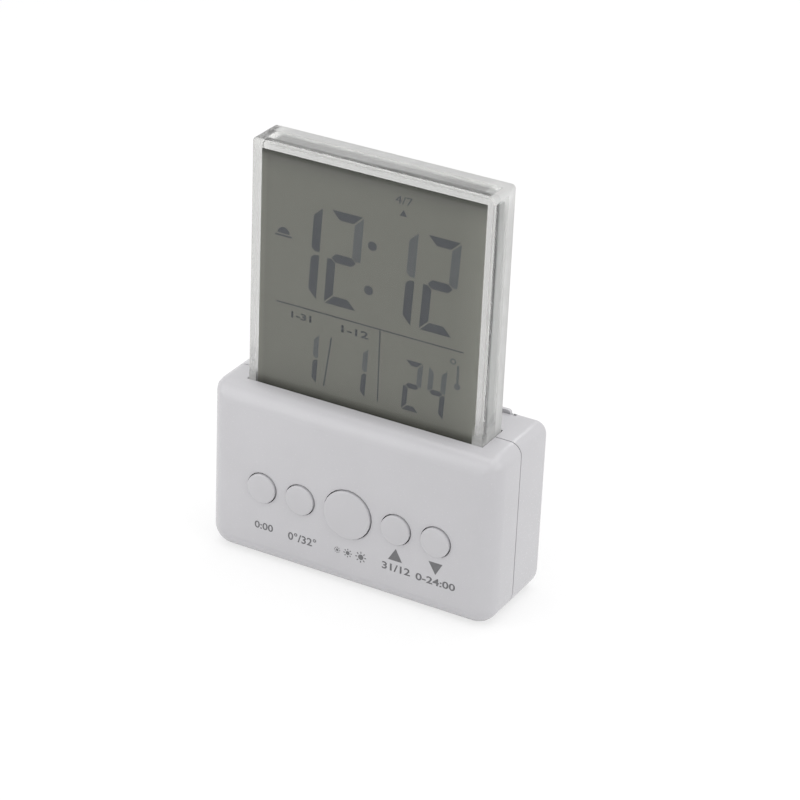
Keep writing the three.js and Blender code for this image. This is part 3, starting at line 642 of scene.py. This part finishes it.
# %% Front film
film, tree, out = new_finish("polariser_painted_light_and_shade")
place = add_node(tree, "ShaderNodeTexCoord")
axes = add_node(tree, "ShaderNodeSeparateXYZ", None, {0: place.outputs["Object"]})
height = add_node(
    tree,
    "ShaderNodeMapRange",
    {"From Min": display_low.z, "From Max": display_high.z},
    {"Value": axes.outputs["Z"]},
)
width = add_node(
    tree,
    "ShaderNodeMapRange",
    {"From Min": display_low.x, "From Max": display_high.x},
    {"Value": axes.outputs["X"]},
)
upward = add_node(tree, "ShaderNodeValToRGB", None, {"Fac": height.outputs["Result"]})
across = add_node(tree, "ShaderNodeValToRGB", None, {"Fac": width.outputs["Result"]})
for ramp, stops in ((upward.color_ramp, FILM_PAINTED_SHADE_UPWARD), (across.color_ramp, FILM_PAINTED_LIGHT_ACROSS)):
    for along, _ in stops[1:-1]:
        ramp.elements.new(along)
    for stop, (_, tone) in zip(ramp.elements, stops):
        stop.color = linear(tone)
shade = add_node(
    tree,
    "ShaderNodeMix",
    {"data_type": "RGBA", "blend_type": "MULTIPLY", 0: 1.0},
    {6: upward.outputs["Color"], 7: across.outputs["Color"]},
)
shader = add_node(
    tree,
    "ShaderNodeBsdfPrincipled",
    {"Roughness": 0.45, "IOR": ACRYLIC_IOR, "Specular IOR Level": 0.2},
    {"Base Color": shade.outputs[2]},
)
tree.links.new(shader.outputs[0], out.inputs["Surface"])
dress(film, "lcd_front_polariser")
print("display", [round(v / MM, 2) for v in display_high - display_low], "mm")

# %% [markdown]
# Behind the film come two thin glasses with the liquid crystal between them. Only their cut edges show, and
# light that enters there is lost between the films. Clear glass would show that only after many bounces, so a
# nearly black gloss stands for it. The edges ripple a little, as a scored and snapped edge does.

# %% Display glass
GLASS_IOR = 1.52
RIPPLE = 6 * MM

sheet_glass, tree, out = new_finish("thin_display_glass")
place = add_node(tree, "ShaderNodeTexCoord")
ripple = add_node(
    tree,
    "ShaderNodeTexNoise",
    {"Scale": 1 / RIPPLE, "Detail": 1.0},
    {"Vector": place.outputs["Object"]},
)
edge_tint = add_node(tree, "ShaderNodeValToRGB", None, {"Fac": ripple.outputs["Fac"]})
edge_tint.color_ramp.elements[0].color = linear("181a19")
edge_tint.color_ramp.elements[1].color = linear("232624")
shader = add_node(
    tree,
    "ShaderNodeBsdfPrincipled",
    {"Roughness": 0.25, "IOR": GLASS_IOR, "Specular IOR Level": 0.05},
    {"Base Color": edge_tint.outputs["Color"]},
)
tree.links.new(shader.outputs[0], out.inputs["Surface"])
dress(sheet_glass, "lcd_front_glass", "lcd_rear_glass")
print("glass edges ripple over", round(RIPPLE / MM, 1), "mm")

# %% [markdown]
# Last in the stack stands a frosted light guide. Rows of dots printed on its rear face throw its light
# forward. Each could be a small disc, but that makes thousands of pieces. Cells of a Voronoi pattern with no
# randomness stand in a square grid, so a spot in each gives the dots. The upper edge is painted a dull grey,
# as painted shade.

# %% Dots of the light guide
DOT_PITCH = 1.2 * MM
DOT_EDGE = (0.28, 0.36)
DOT_TONES = ("ced0ce", "a6a8a7")
SKIN = 0.02 * MM
guide_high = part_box("light_guide")[1]

guide, tree, out = new_finish("frosted_light_guide_acrylic")
place = add_node(tree, "ShaderNodeTexCoord")
axes = add_node(tree, "ShaderNodeSeparateXYZ", None, {0: place.outputs["Object"]})
upright = add_node(
    tree,
    "ShaderNodeMapping",
    {"Rotation": (math.pi / 2, 0, 0)},
    {"Vector": place.outputs["Object"]},
)
dots = add_node(
    tree,
    "ShaderNodeTexVoronoi",
    {"voronoi_dimensions": "2D", "Scale": 1 / DOT_PITCH, "Randomness": 0.0},
    {"Vector": upright.outputs["Vector"]},
)
inner = add_node(
    tree,
    "ShaderNodeMath",
    {"operation": "LESS_THAN", 1: guide_high.y - SKIN},
    {0: axes.outputs["Y"]},
)
printed = add_node(
    tree,
    "ShaderNodeMath",
    {"operation": "MAXIMUM"},
    {0: dots.outputs["Distance"], 1: inner.outputs[0]},
)
dot_tint = add_node(tree, "ShaderNodeValToRGB", None, {"Fac": printed.outputs[0]})
for stop, along, tone in zip(dot_tint.color_ramp.elements, DOT_EDGE, DOT_TONES):
    stop.position = along
    stop.color = linear(tone)
print("dots every", round(DOT_PITCH / MM, 2), "mm on the light guide")

# %% Light guide
# Painted shade: the guide's upper edge is given a darker grey than its dots.
painted_shade_crown = add_node(
    tree,
    "ShaderNodeMath",
    {"operation": "GREATER_THAN", 1: guide_high.z - SKIN},
    {0: axes.outputs["Z"]},
)
guide_tint = add_node(
    tree,
    "ShaderNodeMix",
    {"data_type": "RGBA", 7: linear("707170")},
    {0: painted_shade_crown.outputs[0], 6: dot_tint.outputs["Color"]},
)
shader = add_node(
    tree,
    "ShaderNodeBsdfPrincipled",
    {"Roughness": 0.5, "IOR": ACRYLIC_IOR, "Specular IOR Level": 0.2},
    {"Base Color": guide_tint.outputs[2]},
)
tree.links.new(shader.outputs[0], out.inputs["Surface"])
dress(guide, "light_guide")
print("light guide up to", round(guide_high.z / MM, 2), "mm")

# %% [markdown]
# ## Inside pieces
# Most of these hide in the base, and the cells show when the door is slid up. Each could have a finish of
# many layers, but little of it would be seen. So one function makes them all: a colour drifts between two
# near tones, and the gloss with it, over a pattern of the material's own size.

# %% Plain finish
ROUGH_SPREAD = 0.15


def plain_finish(name, dark, light, pattern_mm, roughness, metallic=0.0, stretch=(1, 1, 1)):
    """A finish whose colour drifts between two tones over a pattern of a real size."""
    material, tree, out = new_finish(name)
    place = add_node(tree, "ShaderNodeTexCoord")
    turned = add_node(tree, "ShaderNodeMapping", {"Scale": stretch}, {"Vector": place.outputs["Object"]})
    pattern = add_node(
        tree,
        "ShaderNodeTexNoise",
        {"Scale": 1 / (pattern_mm * MM), "Detail": 3.0},
        {"Vector": turned.outputs["Vector"]},
    )
    tint = add_node(tree, "ShaderNodeValToRGB", None, {"Fac": pattern.outputs["Fac"]})
    for stop, along, tone in zip(tint.color_ramp.elements, (NOISE_LOW, NOISE_HIGH), (dark, light)):
        stop.position = along
        stop.color = linear(tone)
    rough = add_node(
        tree,
        "ShaderNodeMapRange",
        {"To Min": roughness * (1 - ROUGH_SPREAD), "To Max": roughness * (1 + ROUGH_SPREAD)},
        {"Value": pattern.outputs["Fac"]},
    )
    shader = add_node(
        tree,
        "ShaderNodeBsdfPrincipled",
        {"Metallic": metallic},
        {"Base Color": tint.outputs["Color"], "Roughness": rough.outputs["Result"]},
    )
    tree.links.new(shader.outputs[0], out.inputs["Surface"])
    return material


print("roughness drifts by", ROUGH_SPREAD, "of itself")

# %% Inside finishes
# Plated steel is bright and satin, with faint level streaks from rolling.
steel = plain_finish("nickel_plated_steel", "a4a7ab", "bcbfc2", 1.2, 0.3, 1.0, (1, 1, 6))
# Lacquer shines softly on laminate, and the glass weave under it shows as a fine mottle.
laminate = plain_finish("green_lacquered_laminate", "225237", "2f6b45", 0.8, 0.4)
# Potting resin sets black and glossy.
resin = plain_finish("black_potting_resin", "121315", "1d1e20", 2.5, 0.3)
# Silicone rubber is matt and even, and carbon makes it dull and almost black.
silicone = plain_finish("grey_silicone_rubber", "a9aaab", "b8b9ba", 3.0, 0.65)
carbon = plain_finish("carbon_filled_rubber", "161617", "222224", 0.6, 0.8)
# A cell's shrunk sleeve is a smooth film with a soft gloss.
sleeve = plain_finish("blue_cell_sleeve", "33526f", "3c5f7e", 8.0, 0.32)
# Little light comes back through the rear film, so it looks dark.
rear_film = plain_finish("dark_polariser_film", "1e201f", "282a28", 4.0, 0.6)
# The copper lines under a ribbon's amber film show as fine upright stripes.
amber = plain_finish("amber_ribbon_film", "a88d50", "c2a768", 1.0, 0.4, 0.0, (1, 1, 0.05))
# Wire sleeves are soft plastic, with little gloss.
red_wire = plain_finish("red_wire_sleeve", "97241f", "ad302a", 2.0, 0.45)
black_wire = plain_finish("black_wire_sleeve", "1a1b1d", "26272a", 2.0, 0.45)
dress(steel, "crystal_can", "contact_bridge", "contact_positive", "contact_negative")
dress(steel, *[f"{kind}_screw_{i}" for kind in ("case", "board") for i in range(1, 5)])
dress(laminate, "main_board")
dress(resin, "chip_blob", "thermistor")
dress(silicone, "keypad_sheet", *[f"{name}_key" for name in BUTTONS])
dress(carbon, *[f"{name}_pill" for name in BUTTONS])
dress(sleeve, "battery_upper", "battery_lower")
dress(rear_film, "lcd_rear_polariser")
dress(amber, "lcd_ribbon")
dress(red_wire, "wire_positive")
dress(black_wire, "wire_negative", "capacitor")
print(sum(1 for solid in nodes.values() if solid.data.materials), "of", len(nodes), "solids dressed")

# %% [markdown]
# ## Display segments
# Each figure is made of flat bars with mitred ends, seven to a figure. A font could give such figures, but
# not with this display's own widths and gaps. So a bar starts as a plane of its length and width, and
# bisecting it along slanted lines cuts its mitres. The seven bars are made once for each figure size, and the
# lit ones are copied for each figure and leaned to the right. Some bars catch more light than their
# neighbours, so each figure also names its pale bars, which get a paler ink as painted light.

# %% Ink
# Driven liquid crystal blocks light between the films, and shows as a cool matt grey.
INK_DEPTH = 0.02 * MM
INK_GAP = 0.01 * MM
ink = plain_finish("dark_liquid_crystal", "585b60", "5e6165", 2.0, 0.5)
# Painted light: bars that catch more light are given this paler ink.
painted_light_ink = plain_finish("painted_light_liquid_crystal", "686c6e", "6e7173", 2.0, 0.5)
ink_plane = display_low.y - INK_GAP
print("ink lies at", round(ink_plane / MM, 2), "mm")

# %% Cutting and joining
FACE_FRONT = (math.pi / 2, 0, 0)


def start_plane(x0, x1, z0, z1):
    """A flat plane that faces the front, with its place in its mesh; sizes in millimetres."""
    bpy.ops.object.select_all(action="DESELECT")
    middle = ((x0 + x1) / 2 * MM, 0, (z0 + z1) / 2 * MM)
    bpy.ops.mesh.primitive_plane_add(size=1, location=middle, rotation=FACE_FRONT)
    plane = bpy.context.object
    plane.scale = ((x1 - x0) * MM, (z1 - z0) * MM, 1)
    bpy.ops.object.transform_apply(location=True, rotation=True, scale=True)
    return plane


def trim(piece, cuts):
    """Bisects a flat piece; each cut is a point and the direction of what goes, in millimetres."""
    bpy.ops.object.mode_set(mode="EDIT")
    for (x, z), (dx, dz) in cuts:
        bpy.ops.mesh.select_all(action="SELECT")
        bpy.ops.mesh.bisect(
            plane_co=(x * MM, 0, z * MM),
            plane_no=Vector((dx, 0, dz)).normalized(),
            clear_outer=True,
        )
    bpy.ops.object.mode_set(mode="OBJECT")
    return piece


def merge_flat(name, pieces, material, plane_y=ink_plane):
    """Joins flat pieces, moves them to a plane, gives them a thickness towards the front."""
    bpy.ops.object.select_all(action="DESELECT")
    for piece in pieces:
        if not piece.data.materials:
            piece.data.materials.append(material)
        piece.select_set(True)
    bpy.context.view_layer.objects.active = pieces[0]
    if len(pieces) > 1:
        bpy.ops.object.join()
    piece = bpy.context.object
    piece.name = name
    piece.data.transform(Matrix.Translation((0, plane_y, 0)))
    bpy.ops.object.mode_set(mode="EDIT")
    bpy.ops.mesh.select_all(action="SELECT")
    bpy.ops.mesh.extrude_region_move(TRANSFORM_OT_translate={"value": (0, -INK_DEPTH, 0)})
    bpy.ops.mesh.select_all(action="SELECT")
    bpy.ops.mesh.normals_make_consistent(inside=False)
    bpy.ops.object.mode_set(mode="OBJECT")
    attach(piece, "base")
    print(name, len(piece.data.polygons), "faces")


print("flat pieces get a depth of", round(INK_DEPTH / MM, 3), "mm")

# %% Seven bars for a figure size
LARGE = {"width": 8.95, "height": 24.6, "stroke": 2.3, "gap": 0.4, "waist": 0.9}
SMALL = {"width": 4.85, "height": 13.4, "stroke": 1.35, "gap": 0.3, "waist": 0.5}


def bar_set(width, height, stroke, gap, waist):
    """The seven bars of a figure whose lower left corner is at the origin, in millimetres."""
    w, h, t, y = width, height, stroke, waist / 2
    mid = h / 2
    s = gap / 2 * math.sqrt(0.5)
    left_tip, right_tip = t / 2, w - t / 2
    boxes = {
        "a": (0, w, h - t, h),
        "b": (w - t, w, mid, h),
        "c": (w - t, w, 0, mid),
        "d": (0, w, 0, t),
        "e": (0, t, 0, mid),
        "f": (0, t, mid, h),
        "g": (0, w, mid - t / 2, mid + t / 2),
    }
    cuts = {
        "a": [((s, h + s), (-1, -1)), ((w - s, h + s), (1, -1))],
        "b": [((w + s, h - s), (-1, 1)), ((w, mid + y), (0, -1)), ((right_tip + s, mid + s), (-1, -1))],
        "c": [((w + s, s), (-1, -1)), ((w, mid - y), (0, 1)), ((right_tip + s, mid - s), (-1, 1))],
        "d": [((s, -s), (-1, 1)), ((w - s, -s), (1, 1))],
        "e": [((-s, s), (1, -1)), ((0, mid - y), (0, 1)), ((left_tip - s, mid - s), (1, 1))],
        "f": [((-s, h - s), (1, 1)), ((0, mid + y), (0, -1)), ((left_tip - s, mid + s), (1, -1))],
        "g": [
            ((left_tip + s, mid + s), (-1, 1)),
            ((left_tip + s, mid - s), (-1, -1)),
            ((right_tip - s, mid + s), (1, 1)),
            ((right_tip - s, mid - s), (1, -1)),
        ],
    }
    return {key: trim(start_plane(*boxes[key]), cuts[key]) for key in boxes}


print("figures", LARGE["height"], "and", SMALL["height"], "mm high")

# %% Figures from bars
LIT = {"1": "bc", "2": "abged", "4": "fgbc"}


def figure(bars, digit, pale, x, z, lean):
    """Copies a figure's lit bars to a place, leaning by so much per millimetre of height."""
    copies = []
    slope = Matrix.Identity(4)
    slope[0][2] = lean
    place = Matrix.Translation((x * MM, 0, z * MM)) @ slope
    for key in LIT[digit]:
        copy = bars[key].copy()
        copy.data = bars[key].data.copy()
        copy.data.transform(place)
        # Painted light: the pale bars get the paler ink.
        copy.data.materials.append(painted_light_ink if key in pale else ink)
        bpy.context.collection.objects.link(copy)
        copies.append(copy)
    return copies


def clear_bars(bars):
    """Deletes the seven bars that the copies were made from."""
    bpy.ops.object.select_all(action="DESELECT")
    for bar in bars.values():
        bar.select_set(True)
    bpy.ops.object.delete()


print("lit bars", LIT)

# %% Time, date and temperature figures
LEAN = 0.052
TIME_FOOT = 71.65
DATE_FOOT = 49.45
# For each digit: what it says, its pale bars, painted paler as painted light, and its left edge in
# millimetres.
TIME_FIGURES = {
    "hour_figures": (("1", "", -23.65), ("2", "b", -12.5)),
    "minute_figures": (("1", "b", 2.15), ("2", "b", 13.45)),
}
DATE_FIGURES = {
    "day_figure": (("1", "b", -18.95),),
    "month_figure": (("1", "b", -5.35),),
    "temperature_figures": (("2", "b", 9.6), ("4", "bf", 16.1)),
}

for sizes, foot, figures in ((LARGE, TIME_FOOT, TIME_FIGURES), (SMALL, DATE_FOOT, DATE_FIGURES)):
    bars = bar_set(**sizes)
    for name, digits in figures.items():
        lit = [bar for digit, pale, x in digits for bar in figure(bars, digit, pale, x, foot, LEAN)]
        merge_flat(name, lit, ink)
    clear_bars(bars)

# %% [markdown]
# ## Lines and signs of the display
# Thin ruled lines part the time, the date and the temperature. Round dots make the colon, and a small
# triangle points at the day. Small numbers and signs tell what each part shows. They could be drawn in the
# film's material, but thin pieces have crisp edges and are easy to move. Each is cut from a plane or a disc,
# and the numbers are text that is made a mesh and fitted to its place.

# %% Ruled lines
RULE = 0.32
DATE_STROKE = 0.4
RULE_HEIGHT = 68.66


def slanted_rule(x0, z0, x1, z1, width):
    """A thin upright line from one point to another, in millimetres."""
    plane = start_plane(-width / 2, width / 2, z0, z1)
    slope = Matrix.Identity(4)
    slope[0][2] = (x1 - x0) / (z1 - z0)
    slope[0][3] = (x0 - slope[0][2] * z0) * MM
    plane.data.transform(slope)
    return plane


rules = [
    start_plane(-25.7, 25.6, RULE_HEIGHT - RULE / 2, RULE_HEIGHT + RULE / 2),
    slanted_rule(3.15, 49.5, 3.1, 68.4, RULE),
    slanted_rule(-11.9, 49.4, -10.1, 62.9, DATE_STROKE),
]
merge_flat("display_rules", rules, ink)

# %% Disc, ring and triangle
DISC_SIDES = 32
RING_SIDES = 24


def flat_disc(x, z, radius, sides=DISC_SIDES):
    """A filled disc that faces the front, in millimetres."""
    bpy.ops.object.select_all(action="DESELECT")
    bpy.ops.mesh.primitive_circle_add(
        vertices=sides,
        radius=radius * MM,
        fill_type="NGON",
        location=(x * MM, 0, z * MM),
        rotation=FACE_FRONT,
    )
    disc = bpy.context.object
    bpy.ops.object.transform_apply(location=True, rotation=True, scale=True)
    return disc


def flat_ring(x, z, radius, width):
    """A disc with its middle inset and taken out, in millimetres."""
    ring = flat_disc(x, z, radius, RING_SIDES)
    bpy.ops.object.mode_set(mode="EDIT")
    bpy.ops.mesh.select_all(action="SELECT")
    bpy.ops.mesh.inset(thickness=width * MM)
    bpy.ops.mesh.delete(type="FACE")
    bpy.ops.object.mode_set(mode="OBJECT")
    return ring


def triangle(corners):
    """A flat triangle from three corners, in millimetres: a plane trimmed along its sides."""
    xs, zs = zip(*corners)
    plane = start_plane(min(xs), max(xs), min(zs), max(zs))
    cuts = []
    for i in range(3):
        (px, pz), (qx, qz), (rx, rz) = (corners[(i + step) % 3] for step in range(3))
        away = (-(qz - pz), qx - px)
        side = away[0] * (rx - px) + away[1] * (rz - pz)
        cuts.append(((px, pz), away if side < 0 else (-away[0], -away[1])))
    return trim(plane, cuts)


colon = [flat_disc(0.18, 89.6, 1.2), flat_disc(-0.4, 78.0, 1.2)]
merge_flat("colon_dots", colon, ink)

# %% Numbers
TEXT_STEPS = 3


def lettering(text, x0, x1, z0, height, weight=0.0):
    """Numbers as a flat mesh, fitted between two edges and to a height, in millimetres."""
    bpy.ops.object.select_all(action="DESELECT")
    bpy.ops.object.text_add(rotation=FACE_FRONT)
    sign = bpy.context.object
    sign.data.body = text
    sign.data.offset = weight
    sign.data.resolution_u = TEXT_STEPS
    bpy.ops.object.convert(target="MESH")
    bpy.ops.object.transform_apply(location=True, rotation=True, scale=True)
    sign = bpy.context.object
    xs = [v.co.x for v in sign.data.vertices]
    zs = [v.co.z for v in sign.data.vertices]
    fit_x = (x1 - x0) * MM / (max(xs) - min(xs))
    fit_z = height * MM / (max(zs) - min(zs))
    sign.data.transform(Matrix.Translation((-min(xs), 0, -min(zs))))
    sign.data.transform(Matrix.Diagonal((fit_x, 1, fit_z, 1)))
    sign.data.transform(Matrix.Translation((x0 * MM, 0, z0 * MM)))
    return sign


pointer = triangle(((8.1, 100.8), (7.1, 99.2), (9.1, 99.2)))
weekday = lettering("4/7", 5.85, 10.35, 102.15, 2.0)
merge_flat("weekday_pointer", [pointer, weekday], ink)

# %% Small signs
SUN_X, SUN_Z, SUN_RADIUS = -24.05, 86.75, 1.7
HORIZON_TOP, HORIZON_FOOT = SUN_Z - 0.3, SUN_Z - 0.75

half_sun = trim(flat_disc(SUN_X, SUN_Z, SUN_RADIUS), [((SUN_X, SUN_Z), (0, -1))])
horizon = start_plane(-26.4, -21.7, HORIZON_FOOT, HORIZON_TOP)
merge_flat("afternoon_sign", [half_sun, horizon], ink)

day_range = lettering("1-31", -21.4, -15.8, 65.3, 1.75, 0.02)
month_range = lettering("1-12", -7.45, 0.0, 65.15, 1.85, 0.02)
merge_flat("date_ranges", [day_range, month_range], ink)

# The temperature sign is in the paler ink too, as painted light.
degree = flat_ring(23.0, 65.7, 0.8, 0.35)
bulb = flat_disc(24.4, 59.4, 0.85)
stem = start_plane(24.1, 24.7, 60.2, 64.9)
merge_flat("temperature_sign", [degree, bulb, stem], painted_light_ink)

# %% [markdown]
# ## Printed signs by the buttons
# Grey ink, pad printed flat on the front of the base. As on the display, thin pieces stand for the ink, since
# they stay crisp from near by. Triangles mark up and down, and plain numbers and small suns tell what the
# other buttons set. A sun is a disc with eight rays, and each ray is a plane turned about it.

# %% Three suns
SUNS = ((-2.6, 0.35), (0.4, 0.55), (4.1, 0.75))
SUNS_HEIGHT = 9.8
RAYS = 8
RAY_GAP = 0.25
RAY_SHARE = 0.7
RAY_HALF = 0.14

suns = []
for x, radius in SUNS:
    suns.append(flat_disc(x, SUNS_HEIGHT, radius))
    ray_foot = radius + RAY_GAP
    for step in range(RAYS):
        ray = start_plane(-RAY_HALF, RAY_HALF, ray_foot, ray_foot + radius * RAY_SHARE)
        spoke = Matrix.Rotation(step * math.tau / RAYS, 4, "Y")
        ray.data.transform(Matrix.Translation((x * MM, 0, SUNS_HEIGHT * MM)) @ spoke)
        suns.append(ray)
print(len(SUNS), "suns of", len(suns), "planes and discs")

# %% Printed signs
# Pad print ink dries matt, and a little uneven.
print_ink = plain_finish("grey_pad_print_ink", "6a6a6c", "747476", 1.0, 0.6)
print_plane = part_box("front_case")[0].y

clock_sign = lettering("0:00", -26.4, -21.05, 8.85, 2.0, 0.015)
degree_sign = lettering("0°/32°", -16.7, -8.6, 8.4, 2.3, 0.015)
up_sign = triangle(((13.72, 15.19), (11.68, 11.8), (15.6, 11.8)))
up_numbers = lettering("31/12", 10.06, 17.9, 8.75, 2.0, 0.02)
down_sign = triangle(((22.8, 14.8), (26.64, 14.8), (24.81, 11.45)))
down_numbers = lettering("0-24:00", 19.44, 30.36, 8.5, 2.0, 0.02)
signs = [clock_sign, degree_sign, *suns, up_sign, up_numbers, down_sign, down_numbers]
merge_flat("button_signs", signs, print_ink, print_plane)

# %% [markdown]
# ## Sizes and finish
# The finished clock is measured once more, and the solids' size is printed.

# %% Sizes
sizes = {"solids": solid_box, "dressed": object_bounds()}
print("solids", [list(c) for c in solid_box])
